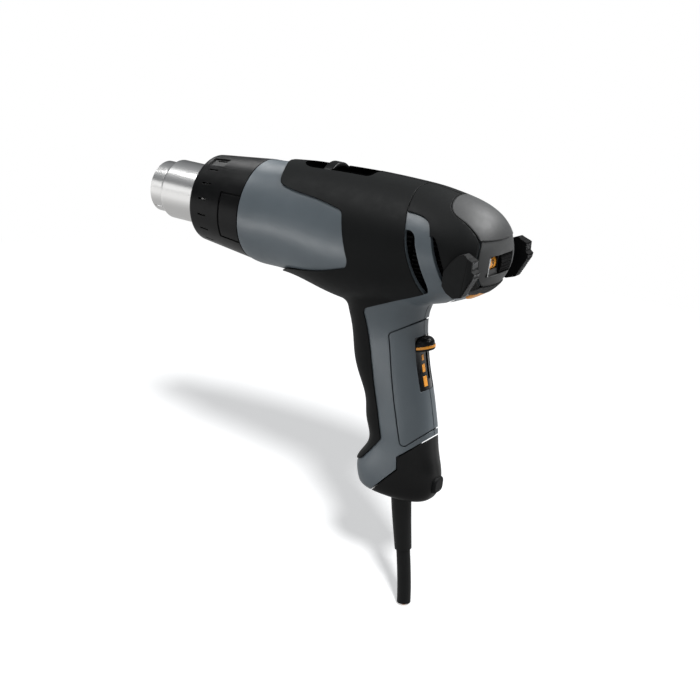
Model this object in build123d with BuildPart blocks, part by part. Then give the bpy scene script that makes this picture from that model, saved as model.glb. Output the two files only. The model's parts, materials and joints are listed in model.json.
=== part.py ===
from build123d import *
import os
from math import cos, pi, radians, sin

# Pistol-grip hot air gun. Millimetres.
# Frame: origin at the centre of the nozzle mouth, X along the barrel axis with the air jet
# leaving towards -X, Z up, and the user's left-hand side of the gun at -Y.

os.makedirs("parts", exist_ok=True)

# ---------------------------------------------------------------- driving dimensions
NOZZLE_RADIUS = 17.0        # push-on nozzle standard, 34 mm outside
NOZZLE_BAND = 9.5           # length of the push-on band
TUBE_RADIUS = 19.7          # main outlet tube
TUBE_WALL = 0.8
TUBE_END = 95.0

SLEEVE_FRONT = 41.5
SLEEVE_REAR = 83.2
SLEEVE_FRONT_RADIUS = 28.3
SLEEVE_REAR_RADIUS = 32.8
SLEEVE_WALL = 2.2
SLEEVE_SLOTS = 18

WALL = 2.4                  # hard housing wall
SEAM = 0.75                 # visible gap between neighbouring mouldings
CLEAR = 0.05                # fit between mouldings that lie on each other
REACH = 60.0                # half depth of the side cutting prisms

# Barrel stations: x, half width, top, bottom, and how far the soft cover stands proud.
BARREL = (
    (84.0, 32.9, 32.9, -32.9, 1.7),
    (104.0, 34.2, 34.6, -33.8, 1.6),
    (128.0, 35.8, 36.9, -36.8, 1.4),
    (150.0, 37.2, 38.1, -41.0, 1.2),
    (170.0, 37.9, 38.6, -41.4, 1.0),
    (190.0, 38.0, 38.4, -38.4, 0.9),
    (206.0, 37.4, 37.5, -34.2, 0.9),
    (218.0, 36.0, 35.8, -30.4, 0.9),
    (230.0, 33.4, 33.2, -25.6, 0.9),
    (239.0, 29.8, 29.4, -20.6, 0.9),
    (246.0, 24.0, 23.8, -15.2, 0.9),
    (250.0, 17.6, 17.6, -9.6, 0.9),
    (252.0, 9.0, 10.5, -3.0, 0.9),
)
# Handle stations: z, front x, rear x, half width.
HANDLE = (
    (-24.0, 155.0, 207.0, 25.0),
    (-40.0, 155.5, 206.4, 21.5),
    (-52.0, 158.4, 207.0, 18.0),
    (-66.0, 161.8, 209.8, 17.0),
    (-80.0, 165.4, 213.5, 17.0),
    (-86.0, 168.2, 215.4, 17.0),
    (-92.0, 171.5, 217.2, 17.0),
    (-108.0, 176.3, 221.5, 16.8),
    (-122.0, 180.5, 224.1, 16.8),
    (-128.0, 180.9, 225.4, 16.9),
    (-134.0, 178.4, 227.2, 17.2),
    (-141.0, 174.2, 229.2, 17.6),
    (-150.0, 173.7, 229.4, 17.8),
    (-156.0, 175.6, 227.6, 16.8),
    (-159.5, 181.0, 222.0, 13.0),
)
HANDLE_PROUD = 0.9
HANDLE_SQUARENESS = 2.4     # 2 is a plain ellipse, more is squarer
JUNCTION_RADIUS = 7.0       # blend where the handle meets the barrel


# ---------------------------------------------------------------- shared helpers
def save(piece, name):
    piece.label = name
    export_step(piece, f"parts/{name}.step")


def side_prism(*runs, shift=0.0, start=0.0, reach=REACH, both=True):
    """Side-view outline cut across the gun: two points are a line, more are a smooth curve.

    A shift moves the outline along X, which opens a seam against its neighbour.
    """
    with BuildPart() as prism:
        with BuildSketch(Plane.XZ.offset(start)):
            with BuildLine():
                for run in runs:
                    if len(run) == 2:
                        Line(*run)
                    else:
                        Spline(*run)
            make_face()
        extrude(amount=reach, both=both)
    return Pos(shift, 0, 0) * prism.part


def polygon_prism(*points, grow=0.0, start=0.0, reach=REACH, both=True, corner=0.0):
    """The same from straight edges, with rounded corners when a corner radius is given."""
    with BuildPart() as prism:
        with BuildSketch(Plane.XZ.offset(start)):
            Polygon(*points, align=None)
            if corner:
                fillet(vertices(), corner)
            if grow:
                offset(amount=grow)
        extrude(amount=reach, both=both)
    return prism.part


def barrel_form(inset, proud):
    with BuildPart() as form:
        for x, half_width, top, bottom, cover in BARREL:
            growth = proud * cover - inset
            share = (x - BARREL[0][0]) / (BARREL[-1][0] - BARREL[0][0])
            middle = (top + bottom) / 2
            half_height = (top - bottom) / 2
            plane = Plane((x + growth * share, 0, middle), x_dir=(0, 1, 0), z_dir=(1, 0, 0))
            with BuildSketch(plane):
                Ellipse(half_width + growth, half_height + growth)
        loft()
    return form.part


def handle_form(inset, proud):
    with BuildPart() as form:
        growth = proud * HANDLE_PROUD - inset
        for z, front, rear, half_width in HANDLE:
            foot = inset if z == HANDLE[-1][0] else 0
            half_depth = (rear - front) / 2 + growth
            with BuildSketch(Plane(((front + rear) / 2, 0, z + foot))):
                with BuildLine():
                    Spline(*rounded_section(half_depth, half_width + growth), periodic=True)
                make_face()
        loft()
    return form.part


def rounded_section(half_depth, half_width, count=24):
    points = []
    power = 2 / HANDLE_SQUARENESS
    for step in range(count):
        angle = 2 * pi * step / count
        along = abs(cos(angle)) ** power
        across = abs(sin(angle)) ** power
        along = along if cos(angle) >= 0 else -along
        across = across if sin(angle) >= 0 else -across
        points.append((half_depth * along, half_width * across))
    return points


def body_form(inset=0.0, proud=0.0):
    """Barrel and handle in one smooth solid, shrunk by inset or grown to the soft cover."""
    with BuildPart() as form:
        add(barrel_form(inset, proud))
        add(handle_form(inset, proud))
        junction = []
        for edge in form.edges():
            box = edge.bounding_box()
            if -60 < box.min.Z and box.max.Z < -10 and box.min.X > 140:
                junction.append(edge)
        fillet(junction, JUNCTION_RADIUS + inset)
    return form.part


# ---------------------------------------------------------------- shared forms
hard_outer = body_form()
hard_inner = body_form(inset=WALL)
cover_outer = body_form(proud=1.0)
cover_bed = body_form(inset=-CLEAR)

left_half = polygon_prism((60, 60), (270, 60), (270, -175), (60, -175), start=SEAM / 2, both=False)
grip_bed = body_form(inset=1.2)

# Gaps between neighbouring mouldings come from growing one region and cutting it from the next.
panel_region = side_prism(
    ((70, 50), (96.5, 50)),
    ((96.5, 50), (96.5, 37)),
    ((96.5, 37), (100, 35.8), (104.2, 33.8), (106.6, 30.4), (108.6, 27), (113, 24.6)),
    ((113, 24.6), (124, 23.2), (138, 22.2), (150, 20.6), (156, 19.6)),
    ((156, 19.6), (159.3, 18.2), (161, 15.2)),
    ((161, 15.2), (163, 9.6), (166, 1), (168.3, -6)),
    ((168.3, -6), (169.2, -10.2), (168.2, -13.2), (165, -15)),
    ((165, -15), (155, -18.6), (143, -22.2), (131, -25), (120, -27.2)),
    ((120, -27.2), (113, -30), (108.5, -33.2), (105, -37)),
    ((105, -37), (104, -50)),
    ((104, -50), (70, -50)),
    ((70, -50), (70, 50)),
)
cover_region = side_prism(
    ((80, 60), (198, 60)),
    ((198, 60), (198, 39.5)),
    ((198, 39.5), (197.2, 37.4), (198, 34.5), (199.3, 30.5), (200.4, 26)),
    ((200.4, 26), (203.8, 16), (206, 8), (209.5, -1.5), (213, -11), (216.5, -21)),
    ((216.5, -21), (212, -23.2), (206, -26), (197, -30), (184, -36), (177.4, -39.2)),
    ((177.4, -39.2), (175.2, -41.2), (174.8, -44.4)),
    ((174.8, -44.4), (177.4, -55), (181.9, -73), (186.4, -92), (190.6, -107), (193.8, -119)),
    ((193.8, -119), (194.3, -121.4), (193.3, -123.4)),
    ((193.3, -123.4), (181.3, -138.8)),
    ((181.3, -138.8), (178, -141.4), (172, -142.8)),
    ((172, -142.8), (140, -143)),
    ((140, -143), (80, -60)),
    ((80, -60), (80, 60)),
)
band_rear_edge = (
    ((200.7, 26.2), (206, 25.9), (211.5, 25), (215.6, 23), (217.8, 20.2), (219.7, 15.6)),
    ((219.7, 15.6), (222.4, 15.4), (224.3, 13.4), (228, 6.3), (231, -1.8), (232.4, -10)),
    ((232.4, -10), (232.2, -15), (230.8, -18.6)),
)
cap_edge = (
    ((246.2, -11.4), (246.3, -4), (246.2, 4), (245.8, 13)),
    ((245.8, 13), (244.2, 17.4), (240, 21.6), (234, 25.4), (228, 28), (223.6, 30.8), (219.6, 37)),
    ((219.6, 37), (219.6, 60)),
)
rear_panel_region = side_prism(
    ((198.45, 60), (198.45, 39.5)),
    ((198.45, 39.5), (197.7, 37.4), (198.5, 34.5), (199.8, 30.5), (200.7, 26.2)),
    *band_rear_edge,
    ((230.8, -18.6), (235.5, -17.2), (242.7, -13.9), (246.2, -11.4)),
    *cap_edge,
    ((219.6, 60), (198.45, 60)),
)
cap_runs = (
    *cap_edge,
    ((219.6, 60), (275, 60)),
    ((275, 60), (275, -11.4)),
    ((275, -11.4), (246.2, -11.4)),
)
cap_region = side_prism(*cap_runs, shift=SEAM)
cap_space = side_prism(*cap_runs)
door_points = (
    (246.4, -11.65),
    (242.7, -14.1),
    (235.5, -17.5),
    (231.2, -18.9),
    (229.5, -25),
    (221.5, -29.3),
    (221.5, -45),
    (275, -45),
    (275, -11.65),
)
door_region = polygon_prism(*door_points)
door_space = polygon_prism(*door_points, grow=SEAM + CLEAR)
latch_space = polygon_prism((236.2, -11.7), (275, -11.7), (275, -20), (236.2, -20), reach=13.1)
base_points = (
    (242, -99.6),
    (207.7, -130.5),
    (208.8, -138.3),
    (190, -159.7),
    (190, -175),
    (245, -175),
)
base_region = polygon_prism(*base_points)
base_space = polygon_prism(*base_points, grow=SEAM)
grip_points = (
    (192.0, -53.4),
    (226, -32),
    (240, -94),
    (209.2, -123.8),
    (204.9, -109),
    (200.8, -94),
    (197, -78.6),
)
grip_region = polygon_prism(*grip_points, corner=2.4)
grip_space = polygon_prism(*grip_points, corner=2.4, grow=SEAM)

# Air inlets: two leaning slots each side of the narrow band behind the cover.
inlet_space = side_prism(
    ((203.9, 16.2), (206.1, 8), (209.6, -1.5), (213.1, -11), (216.4, -20.4)),
    ((216.4, -20.4), (218.6, -20), (220, -16.6), (219, -9.5), (214.9, 2.4), (211.2, 12)),
    ((211.2, 12), (209.4, 15.2), (206.4, 16.6), (203.9, 16.2)),
)
rear_inlet_space = side_prism(
    ((219.8, 15.5), (222.4, 15.4), (224.3, 13.4), (228, 6.3), (231, -1.8), (232.4, -10)),
    ((232.4, -10), (232.2, -15), (230.9, -18.2)),
    ((230.9, -18.2), (227.4, -5), (223.6, 5.4), (219.8, 15.5)),
)

# ---------------------------------------------------------------- switch placing
# The slide switch runs down the back of the grip, 14.6 degrees off vertical.
SWITCH_TOP = Vector(208.0, 0, -59)
SWITCH_LEAN = 14.6
SWITCH_TRAVEL = 20.5
switch_along = Vector(sin(radians(SWITCH_LEAN)), 0, -cos(radians(SWITCH_LEAN)))
switch_out = Vector(cos(radians(SWITCH_LEAN)), 0, sin(radians(SWITCH_LEAN)))


def switch_plane(distance, height=0.0):
    """Plane across the switch track, its normal down the grip and its local x straight out."""
    origin = SWITCH_TOP + switch_along * distance + switch_out * height
    return Plane(origin, x_dir=switch_out, z_dir=switch_along)


TRACK_START = -5.0
TRACK_END = 29.0
TRACK_WIDTH = 17.0
with BuildPart() as switch_opening:
    with BuildSketch(switch_plane(TRACK_START)):
        Rectangle(24, TRACK_WIDTH)
    extrude(amount=TRACK_END - TRACK_START)

# ---------------------------------------------------------------- hanging eye
EYE_FRONT = 112.0
EYE_REAR = 164.0
EYE_HALF_WIDTH = 12.0
EYE_FLOOR = 28.0
BRIDGE_X = 133.0
BRIDGE_WIDTH = 6.4


def eye_prism(shrink, low, high):
    """Top recess outline: rounded at the nozzle end, nearly square at the rear."""
    half = EYE_HALF_WIDTH - shrink
    front_centre = EYE_FRONT + EYE_HALF_WIDTH
    with BuildPart() as prism:
        with BuildSketch(Plane.XY.offset(low)):
            with Locations((front_centre, 0)):
                Circle(half)
            with Locations(((front_centre + EYE_REAR - shrink) / 2, 0)):
                Rectangle(EYE_REAR - shrink - front_centre, 2 * half)
            rear_corners = vertices().sort_by(Axis.X)[-2:]
            fillet(rear_corners, 3.5 - shrink * 0.5)
        extrude(amount=high - low)
    return prism.part


eye_space = eye_prism(0, EYE_FLOOR, 50)

# ---------------------------------------------------------------- dial placing
CAP_CREASE = 16.6           # the cap's dome ends in a shallow step at this height
DIAL_X = 241.2
DIAL_Z = 1.6
DIAL_RADIUS = 11.0          # ribbed thumbwheel
DIAL_RIGHT = 11.8           # the wheel's right and left faces
DIAL_LEFT = -2.2
DIAL_RIBS = 36
DIAL_SHAFT_END = 13.8
SCALE_RADIUS = 8.2          # numbered ring, behind the window
SCALE_LEFT = -13.7
SCALE_HUB_RADIUS = 6.7
BEZEL_LOW = -4.6
BEZEL_HIGH = 7.6
BEZEL_LEFT = -16.5
BEZEL_RIGHT = -2.6
BEZEL_FACE = 250.3
BEZEL_BACK = 247.4
WINDOW_LEFT = -14.0
WINDOW_RIGHT = -4.0
WINDOW_LOW = -0.5
WINDOW_HIGH = 6.7
PAST_CAP = 270.0


def rear_box(back, front, left, right, low, high):
    """Box at the rear of the gun between two X, two Y and two Z positions."""
    middle = ((back + front) / 2, (left + right) / 2, (low + high) / 2)
    with BuildPart() as block:
        with Locations(middle):
            Box(front - back, right - left, high - low)
    return block.part


def dial_disc(radius, left, right):
    """Disc about the dial's axis between two Y positions."""
    with BuildPart() as disc:
        with BuildSketch(Plane.XZ.offset(-right)):
            with Locations((DIAL_X, DIAL_Z)):
                Circle(radius)
        extrude(amount=right - left)
    return disc.part


dial_space = dial_disc(DIAL_RADIUS + 0.5, DIAL_LEFT - 0.5, DIAL_RIGHT + 0.5)

# ---------------------------------------------------------------- housing screws
SCREW_POINTS = ((167, 30.0), (166, -30.5), (184, -72), (186.5, -112))
SCREW_RADIUS = 1.9
SCREW_HEAD_RADIUS = 3.2
SCREW_HEAD_Y = (23.0, 21.0, 11.5, 11.5)
SCREW_END_Y = -9.0
with BuildPart() as screw_space:
    for (x, z), head_y in zip(SCREW_POINTS, SCREW_HEAD_Y):
        with Locations(Plane((x, SCREW_END_Y - 0.5, z), z_dir=(0, 1, 0))):
            Cylinder(SCREW_RADIUS + CLEAR, 70, align=(Align.CENTER, Align.CENTER, Align.MIN))
        with Locations(Plane((x, head_y - CLEAR, z), z_dir=(0, 1, 0))):
            Cylinder(SCREW_HEAD_RADIUS + 0.3, 40, align=(Align.CENTER, Align.CENTER, Align.MIN))
with BuildPart() as screw_bosses:
    for x, z in SCREW_POINTS:
        with Locations(Plane((x, -SEAM / 2, z), z_dir=(0, -1, 0))):
            Cylinder(5.0, 60, align=(Align.CENTER, Align.CENTER, Align.MIN))
    add(hard_outer, mode=Mode.INTERSECT)

# ---------------------------------------------------------------- hard housing halves
with BuildPart() as grip_pocket:
    add(grip_space)
    add(grip_bed, mode=Mode.SUBTRACT)

with BuildPart() as housing_blank:
    add(hard_outer)
    add(left_half, mode=Mode.INTERSECT)
    add(hard_inner, mode=Mode.SUBTRACT)
    add(screw_bosses.part)
    for space in (cap_space, door_space, latch_space, base_space, inlet_space, rear_inlet_space):
        add(space, mode=Mode.SUBTRACT)
    add(eye_space, mode=Mode.SUBTRACT)
    add(dial_space, mode=Mode.SUBTRACT)
    add(switch_opening.part, mode=Mode.SUBTRACT)
    add(grip_pocket.part, mode=Mode.SUBTRACT)

with BuildPart() as left_housing:
    add(housing_blank.part)
    add(screw_space.part, mode=Mode.SUBTRACT)
save(left_housing.part, "left_housing")

with BuildPart() as right_housing:
    mirror(housing_blank.part, about=Plane.XZ)
    add(screw_space.part, mode=Mode.SUBTRACT)
    add(dial_space, mode=Mode.SUBTRACT)
save(right_housing.part, "right_housing")

# ---------------------------------------------------------------- soft covers
with BuildPart() as cover_blank:
    add(cover_outer)
    add(left_half, mode=Mode.INTERSECT)

with BuildPart() as left_soft_cover:
    add(cover_blank.part)
    add(cover_region, mode=Mode.INTERSECT)
    add(panel_region, mode=Mode.SUBTRACT)
    add(cover_bed, mode=Mode.SUBTRACT)
    add(eye_space, mode=Mode.SUBTRACT)
save(left_soft_cover.part, "left_soft_cover")

with BuildPart() as right_soft_cover:
    mirror(left_soft_cover.part, about=Plane.XZ)
    add(screw_space.part, mode=Mode.SUBTRACT)
save(right_soft_cover.part, "right_soft_cover")

with BuildPart() as left_rear_panel:
    add(cover_blank.part)
    add(rear_panel_region, mode=Mode.INTERSECT)
    add(cover_bed, mode=Mode.SUBTRACT)
save(left_rear_panel.part, "left_rear_panel")

with BuildPart() as right_rear_panel:
    mirror(left_rear_panel.part, about=Plane.XZ)
save(right_rear_panel.part, "right_rear_panel")

# ---------------------------------------------------------------- hanging eye tray and bar
EYE_RIM_WALL = 1.9
with BuildPart() as bridge_bar:
    with BuildSketch(Plane.YZ.offset(BRIDGE_X - BRIDGE_WIDTH / 2)):
        with BuildLine():
            ThreePointArc((-11.6, 35.2), (0, 40.2), (11.6, 35.2))
            Line((11.6, 35.2), (11.6, 32.4))
            ThreePointArc((11.6, 32.4), (0, 37.4), (-11.6, 32.4))
            Line((-11.6, 32.4), (-11.6, 35.2))
        make_face()
    extrude(amount=BRIDGE_WIDTH)
    fillet(bridge_bar.edges().filter_by(GeomType.CIRCLE), 0.7)
save(bridge_bar.part, "hanging_bridge")

with BuildPart() as eye_tray:
    add(eye_prism(CLEAR * 2, EYE_FLOOR + CLEAR, 50))
    add(cover_outer, mode=Mode.INTERSECT)
    add(eye_prism(EYE_RIM_WALL, EYE_FLOOR + 1.4, 50), mode=Mode.SUBTRACT)
    with Locations((BRIDGE_X, 0, 42)):
        Box(BRIDGE_WIDTH + 2 * CLEAR, 40, 20, mode=Mode.SUBTRACT)
save(eye_tray.part, "eye_tray")

# ---------------------------------------------------------------- inlet grilles
GRILLE_ROW = 2.5
GRILLE_COLUMN = 7.6
GRILLE_WEB = 1.1
grille_plate = polygon_prism(
    (199, 20), (234.5, 20), (234.5, -17), (222, -21.5), (207, -21.5), (199, 0),
    start=8, both=False,
)
with BuildPart() as left_inlet_grille:
    add(barrel_form(WALL + CLEAR, 0))
    add(barrel_form(WALL + 1.2, 0), mode=Mode.SUBTRACT)
    add(grille_plate, mode=Mode.INTERSECT)
    with Locations((216.8, -30, 0)):
        with GridLocations(GRILLE_COLUMN, 0, 4, 1):
            with Locations([(0, 0, GRILLE_ROW * row) for row in range(-7, 7)]):
                Box(GRILLE_COLUMN - GRILLE_WEB, 30, GRILLE_ROW - GRILLE_WEB, mode=Mode.SUBTRACT)
save(left_inlet_grille.part, "left_inlet_grille")

with BuildPart() as right_inlet_grille:
    mirror(left_inlet_grille.part, about=Plane.XZ)
save(right_inlet_grille.part, "right_inlet_grille")

with BuildPart() as left_filter_pad:
    add(barrel_form(WALL + 1.3, 0))
    add(barrel_form(WALL + 3.3, 0), mode=Mode.SUBTRACT)
    add(grille_plate, mode=Mode.INTERSECT)
with BuildPart() as dust_filter:
    add(left_filter_pad.part)
    mirror(left_filter_pad.part, about=Plane.XZ)
save(dust_filter.part, "dust_filter")

# ---------------------------------------------------------------- stand feet
FOOT_INNER = 33.0
FOOT_OUTER = 41.0
PAD_RIBS = 9
foot_plan = ((231, -30), (231, -33.9), (240, -37.6), (249, -FOOT_OUTER), (256, -FOOT_OUTER),
             (256, -FOOT_INNER), (238, -FOOT_INNER))
foot_side = ((231, -2.5), (236, 4.5), (241, 9.6), (245, 11.4), (248.6, 9.6), (246.2, -13.6),
             (241, -15.5), (235, -14), (231, -11))
pad_side = ((248.7, 9.6), (251.2, 8.6), (251.4, 3.4), (253.3, 2.0), (252.9, -0.6), (246.7, -13.4),
            (246.3, -13.6))

with BuildPart() as foot_prism:
    with BuildSketch(Plane.XY.offset(-30)):
        Polygon(*foot_plan, align=None)
        fillet(vertices().group_by(Axis.Y)[0].sort_by(Axis.X)[0], 5)
    extrude(amount=60)

with BuildPart() as left_stand_foot:
    add(foot_prism.part)
    add(polygon_prism(*foot_side), mode=Mode.INTERSECT)
    add(barrel_form(-CLEAR, 1.0), mode=Mode.SUBTRACT)
save(left_stand_foot.part, "left_stand_foot")

with BuildPart() as right_stand_foot:
    mirror(left_stand_foot.part, about=Plane.XZ)
save(right_stand_foot.part, "right_stand_foot")

with BuildPart() as left_foot_pad:
    add(foot_prism.part)
    add(polygon_prism(*pad_side), mode=Mode.INTERSECT)
    lower_start = Vector(252.9, 0, -0.6)
    lower_end = Vector(246.7, 0, -13.4)
    for rib in range(1, PAD_RIBS):
        centre = lower_start + (lower_end - lower_start) * (rib / PAD_RIBS)
        with Locations(Plane(centre, x_dir=(0, 1, 0), z_dir=(0.9, 0, -0.436))):
            Box(2 * FOOT_OUTER + 20, 0.7, 1.2, mode=Mode.SUBTRACT)
save(left_foot_pad.part, "left_foot_pad")

with BuildPart() as right_foot_pad:
    mirror(left_foot_pad.part, about=Plane.XZ)
save(right_foot_pad.part, "right_foot_pad")

# ---------------------------------------------------------------- rear cap and dial
with BuildPart() as cap_dome:
    add(barrel_form(0, 1.0))
    add(polygon_prism((205, CAP_CREASE), (275, CAP_CREASE), (275, 60), (205, 60)), mode=Mode.INTERSECT)

with BuildPart() as rear_cap:
    add(barrel_form(0, 0.4))
    add(cap_dome.part)
    add(barrel_form(WALL + 0.2, 0), mode=Mode.SUBTRACT)
    add(cap_region, mode=Mode.INTERSECT)
    add(
        rear_box(BEZEL_BACK, PAST_CAP, BEZEL_LEFT, DIAL_RIGHT + 0.5, BEZEL_LOW, BEZEL_HIGH),
        mode=Mode.SUBTRACT,
    )
    add(dial_disc(DIAL_RADIUS + 0.4, DIAL_LEFT - 0.4, DIAL_RIGHT + 0.4), mode=Mode.SUBTRACT)
    add(dial_disc(SCALE_RADIUS + 0.4, SCALE_LEFT - 0.4, DIAL_LEFT), mode=Mode.SUBTRACT)
save(rear_cap.part, "rear_cap")

with BuildPart() as dial_bezel:
    add(
        rear_box(BEZEL_BACK, BEZEL_FACE, BEZEL_LEFT + CLEAR, BEZEL_RIGHT, BEZEL_LOW + CLEAR,
                 BEZEL_HIGH - CLEAR)
    )
    add(
        rear_box(BEZEL_BACK, PAST_CAP, WINDOW_LEFT, WINDOW_RIGHT, WINDOW_LOW, WINDOW_HIGH),
        mode=Mode.SUBTRACT,
    )
    add(dial_disc(SCALE_RADIUS + 0.3, SCALE_LEFT - 0.5, 0), mode=Mode.SUBTRACT)
save(dial_bezel.part, "dial_bezel")

with BuildPart() as temperature_dial:
    add(dial_disc(DIAL_RADIUS, DIAL_LEFT, DIAL_RIGHT))
    with BuildSketch(Plane.XZ.offset(-DIAL_RIGHT)):
        with Locations((DIAL_X, DIAL_Z)):
            with PolarLocations(DIAL_RADIUS, DIAL_RIBS):
                Circle(0.4)
    extrude(amount=DIAL_RIGHT - DIAL_LEFT, mode=Mode.SUBTRACT)
    add(dial_disc(SCALE_HUB_RADIUS, SCALE_LEFT, DIAL_LEFT))
    add(dial_disc(3, DIAL_RIGHT - 1, DIAL_SHAFT_END))
save(temperature_dial.part, "temperature_dial")

with BuildPart() as dial_scale:
    add(dial_disc(SCALE_RADIUS, SCALE_LEFT, DIAL_LEFT - CLEAR))
    add(dial_disc(SCALE_HUB_RADIUS + CLEAR, SCALE_LEFT - 1, 0), mode=Mode.SUBTRACT)
save(dial_scale.part, "dial_scale")

with BuildPart() as dial_potentiometer:
    with Locations(Plane((DIAL_X - 2, DIAL_SHAFT_END + 0.2, DIAL_Z), z_dir=(0, 1, 0))):
        Cylinder(4.8, 3.4, align=(Align.CENTER, Align.CENTER, Align.MIN))
    add(barrel_form(WALL + 0.4, 0), mode=Mode.INTERSECT)
save(dial_potentiometer.part, "dial_potentiometer")

BOARD_Y = 19.4
with BuildPart() as control_board:
    with BuildSketch(Plane.XZ.offset(-BOARD_Y)):
        with Locations((217.5, 1)):
            Rectangle(21, 18)
            with GridLocations(17, 14, 2, 2):
                Circle(1.2, mode=Mode.SUBTRACT)
    extrude(amount=-1.6)
    with Locations((224.5, BOARD_Y + 2.4, 2)):
        Box(6, 1.6, 7)
save(control_board.part, "control_board")

with BuildPart() as heat_sink:
    with Locations((215, BOARD_Y + 4.2, 0)):
        with GridLocations(2.4, 0, 5, 1):
            Box(1.0, 4.6, 12)
    with Locations((215, BOARD_Y + 1.6 + 0.5, 0)):
        Box(10.6, 0.9, 12)
save(heat_sink.part, "heat_sink")

# ---------------------------------------------------------------- filter door
GRIP_LOW = -17.6
DOOR_RIB_PITCH = 1.5
LATCH_X = 240.5
LATCH_LENGTH = 8.0
LATCH_WIDTH = 21.0
LATCH_TOP = -17.0
SPRING_X = 238.2
SPRING_TOP = -13.3
grip_zone = polygon_prism(
    (247, -11.7), (262, -11.7), (262, GRIP_LOW), (240.5, GRIP_LOW), (240.5, -15.4)
)
with BuildPart() as latch_window:
    with Locations((LATCH_X, 0, -20)):
        Box(LATCH_LENGTH + 0.6, LATCH_WIDTH + 0.6, 14)

with BuildPart() as filter_door:
    add(hard_outer)
    add(hard_inner, mode=Mode.SUBTRACT)
    add(door_region, mode=Mode.INTERSECT)
    add(latch_window.part, mode=Mode.SUBTRACT)
    with Locations((SPRING_X, 0, SPRING_TOP + 0.7)):
        Box(3, LATCH_WIDTH + 4.4, 1.2)
    with Locations((SPRING_X, LATCH_WIDTH / 2 + 1.3, -15.8), (SPRING_X, -LATCH_WIDTH / 2 - 1.3, -15.8)):
        Box(3, 1.8, 5.2)
save(filter_door.part, "filter_door")

with BuildPart() as grip_ribs:
    with Locations([(250, DOOR_RIB_PITCH * rib, -15) for rib in range(-13, 14)]):
        Box(24, 0.8, 12)
    add(barrel_form(0, 1.0), mode=Mode.INTERSECT)
with BuildPart() as door_grip:
    add(barrel_form(-0.45, 0))
    add(grip_ribs.part)
    add(barrel_form(-CLEAR, 0), mode=Mode.SUBTRACT)
    add(grip_zone, mode=Mode.INTERSECT)
    add(latch_window.part, mode=Mode.SUBTRACT)
save(door_grip.part, "door_grip")

with BuildPart() as door_latch:
    with Locations((LATCH_X, 0, LATCH_TOP - 3.5)):
        Box(LATCH_LENGTH, LATCH_WIDTH, 7)
    with Locations((LATCH_X + 2, 0, LATCH_TOP + 0.5)):
        Box(4, LATCH_WIDTH, 1.4)
    with Locations((LATCH_X + 2.8, 0, LATCH_TOP + 2)):
        Box(2, 8, 3)
    add(barrel_form(-0.7, 0), mode=Mode.INTERSECT)
save(door_latch.part, "door_latch")

with BuildPart() as latch_spring:
    with BuildSketch(Plane.XY.offset(LATCH_TOP + 0.05)):
        with Locations((SPRING_X, 0)):
            Circle(1.3)
            Circle(0.8, mode=Mode.SUBTRACT)
    extrude(amount=SPRING_TOP - LATCH_TOP - 0.05)
save(latch_spring.part, "latch_spring")

# ---------------------------------------------------------------- grip panels
with BuildPart() as left_grip_panel:
    add(hard_outer)
    add(body_form(inset=1.2 - CLEAR), mode=Mode.SUBTRACT)
    add(grip_region, mode=Mode.INTERSECT)
    add(left_half, mode=Mode.INTERSECT)
    add(switch_opening.part, mode=Mode.SUBTRACT)
save(left_grip_panel.part, "left_grip_panel")

with BuildPart() as right_grip_panel:
    mirror(left_grip_panel.part, about=Plane.XZ)
    add(screw_space.part, mode=Mode.SUBTRACT)
save(right_grip_panel.part, "right_grip_panel")

# ---------------------------------------------------------------- slide switch
TRACK_SINK = 0.5            # the insert lies this far below the grip's surface
TRACK_THICKNESS = 4.0
KNOB_HALF = 4.1
KNOB_RADIUS = 8.3
KNOB_CENTRE = -1.9
KNOB_LIFT = 0.25            # gap from the grip's surface to the knob's underside
PIN_Y = -2.7                # the slider's pin runs beside the marks
PIN_END = -10.5
MARK_Y = 2.6


def switch_box(start, end, low, high, width, side=0.0):
    """Box between two distances down the track and two heights off the grip's back line."""
    with BuildPart() as block:
        with BuildSketch(switch_plane(start, (low + high) / 2)):
            with Locations((0, side)):
                Rectangle(high - low, width)
        extrude(amount=end - start)
    return block.part


with BuildPart() as switch_bezel:
    add(switch_box(TRACK_START + CLEAR, TRACK_END - CLEAR, -12, 6, TRACK_WIDTH - 2 * CLEAR))
    add(handle_form(TRACK_SINK, 0), mode=Mode.INTERSECT)
    add(handle_form(TRACK_SINK + TRACK_THICKNESS, 0), mode=Mode.SUBTRACT)
    add(
        switch_box(-2.2, SWITCH_TRAVEL + 2.2, -14, 6, 3.4, PIN_Y),
        mode=Mode.SUBTRACT,
    )
save(switch_bezel.part, "switch_bezel")

with BuildPart() as switch_marks:
    for start, end, width in ((6.5, 10.0, 2.0), (12.5, 17.5, 2.8), (20.0, 26.5, 3.6)):
        add(switch_box(start, end, -3, 3, width, MARK_Y))
    add(handle_form(TRACK_SINK - 0.2, 0), mode=Mode.INTERSECT)
    add(handle_form(TRACK_SINK - 0.02, 0), mode=Mode.SUBTRACT)
save(switch_marks.part, "switch_marks")

knob_bed = handle_form(-KNOB_LIFT, 0)
with BuildPart() as knob_form:
    with BuildSketch(switch_plane(-KNOB_HALF, KNOB_CENTRE)):
        Circle(KNOB_RADIUS)
    extrude(amount=2 * KNOB_HALF)
    rims = knob_form.edges().filter_by(GeomType.CIRCLE).sort_by(Axis.Z)
    fillet(rims[-1], 4.0)
    fillet(knob_form.edges().filter_by(GeomType.CIRCLE).sort_by(Axis.Z)[0], 1.0)
    add(knob_bed, mode=Mode.SUBTRACT)

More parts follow.
